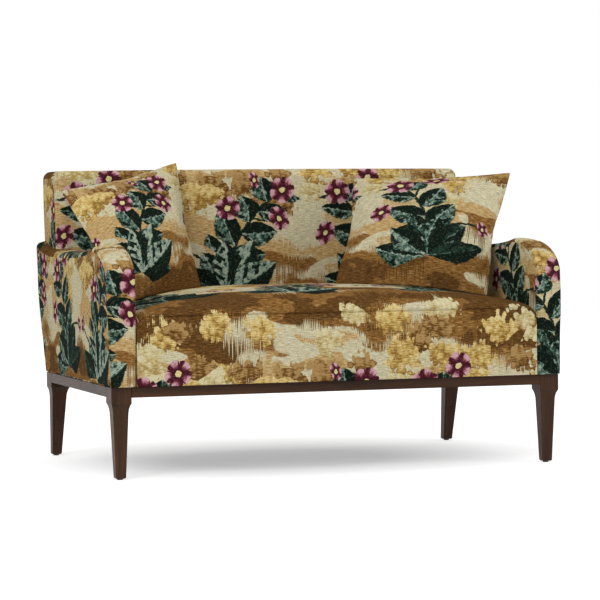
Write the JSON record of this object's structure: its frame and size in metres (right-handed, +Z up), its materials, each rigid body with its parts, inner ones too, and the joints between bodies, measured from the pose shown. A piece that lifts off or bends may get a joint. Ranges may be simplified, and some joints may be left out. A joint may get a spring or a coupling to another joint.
{
  "type": "high back settee",
  "caption": "Upholstered settee with a boxy raked back, rounded rolled-nose arms, a tight crowned seat, loose scatter cushions and tapered wooden legs, the rear pair raked.",
  "frame": {"origin": "centre of the settee's footprint, on the floor", "axes": "+X to the sitter's left-hand arm as seen from behind the seat, that is to the right of someone facing the settee's front; +Y to the rear; +Z up"},
  "size_m": [1.336, 0.954, 0.875],
  "materials": {
    "walnut_wood": "stained and satin lacquered",
    "glide_plastic": "moulded nail-on glide, matt black",
    "corner_block_wood": "planed, unfinished",
    "lining": "non-woven dust cover cloth, black",
    "frame_wood": "planed hardwood, unfinished",
    "arm_plywood": "laminated board, unfinished",
    "spring_wire": "drawn spring wire, bright",
    "felt": "pressed felt pad, grey",
    "webbing": "woven elastic webbing",
    "foam": "upholstery foam, cream",
    "insert_fill": "fibre fill in a white case",
    "tapestry": "ribbed jacquard tapestry with a leafy print",
    "cushion_tapestry": "ribbed jacquard tapestry with a leafy print"
  },
  "bodies": {
    "settee": {"front_base_rail": "walnut_wood", "rear_base_rail": "walnut_wood", "left_base_rail": "walnut_wood", "front_left_leg": "walnut_wood", "front_left_glide": "glide_plastic", "front_left_corner_block": "corner_block_wood", "rear_left_leg": "walnut_wood", "rear_left_glide": "glide_plastic", "rear_left_corner_block": "corner_block_wood", "right_base_rail": "walnut_wood", "front_right_leg": "walnut_wood", "front_right_glide": "glide_plastic", "front_right_corner_block": "corner_block_wood", "rear_right_leg": "walnut_wood", "rear_right_glide": "glide_plastic", "rear_right_corner_block": "corner_block_wood", "lining_cloth": "lining", "seat_front_rail": "frame_wood", "seat_back_rail": "frame_wood", "seat_left_rail": "frame_wood", "seat_right_rail": "frame_wood", "seat_centre_bearer": "frame_wood", "zigzag_spring_1": "spring_wire", "zigzag_spring_2": "spring_wire", "zigzag_spring_3": "spring_wire", "zigzag_spring_4": "spring_wire", "zigzag_spring_5": "spring_wire", "zigzag_spring_6": "spring_wire", "spring_pad": "felt", "seat_foam": "foam", "front_border_pad": "foam", "seat_cover": "tapestry", "left_arm_board": "arm_plywood", "left_arm_foam": "foam", "left_arm_cover": "tapestry", "right_arm_board": "arm_plywood", "right_arm_foam": "foam", "right_arm_cover": "tapestry", "back_left_post": "frame_wood", "back_right_post": "frame_wood", "back_centre_post": "frame_wood", "back_top_rail": "frame_wood", "back_left_lower_rail": "frame_wood", "back_right_lower_rail": "frame_wood", "back_web_1": "webbing", "back_web_2": "webbing", "back_web_3": "webbing", "back_web_4": "webbing", "back_web_5": "webbing", "back_foam": "foam", "back_rear_pad": "foam", "back_left_side_pad": "foam", "back_right_side_pad": "foam", "inside_back_cover": "tapestry", "outside_back_cover": "tapestry"},
    "cushion_left": {"left_cushion_cover": "cushion_tapestry", "left_cushion_insert": "insert_fill"},
    "cushion_right": {"right_cushion_cover": "cushion_tapestry", "right_cushion_insert": "insert_fill"}
  },
  "joints": [
    {"name": "left_cushion_lift", "type": "slide", "parent": "settee", "child": "cushion_left", "axis": [0, 0, 1], "range_m": [0, 0.35]},
    {"name": "right_cushion_lift", "type": "slide", "parent": "settee", "child": "cushion_right", "axis": [0, 0, 1], "range_m": [0, 0.35]}
  ]
}
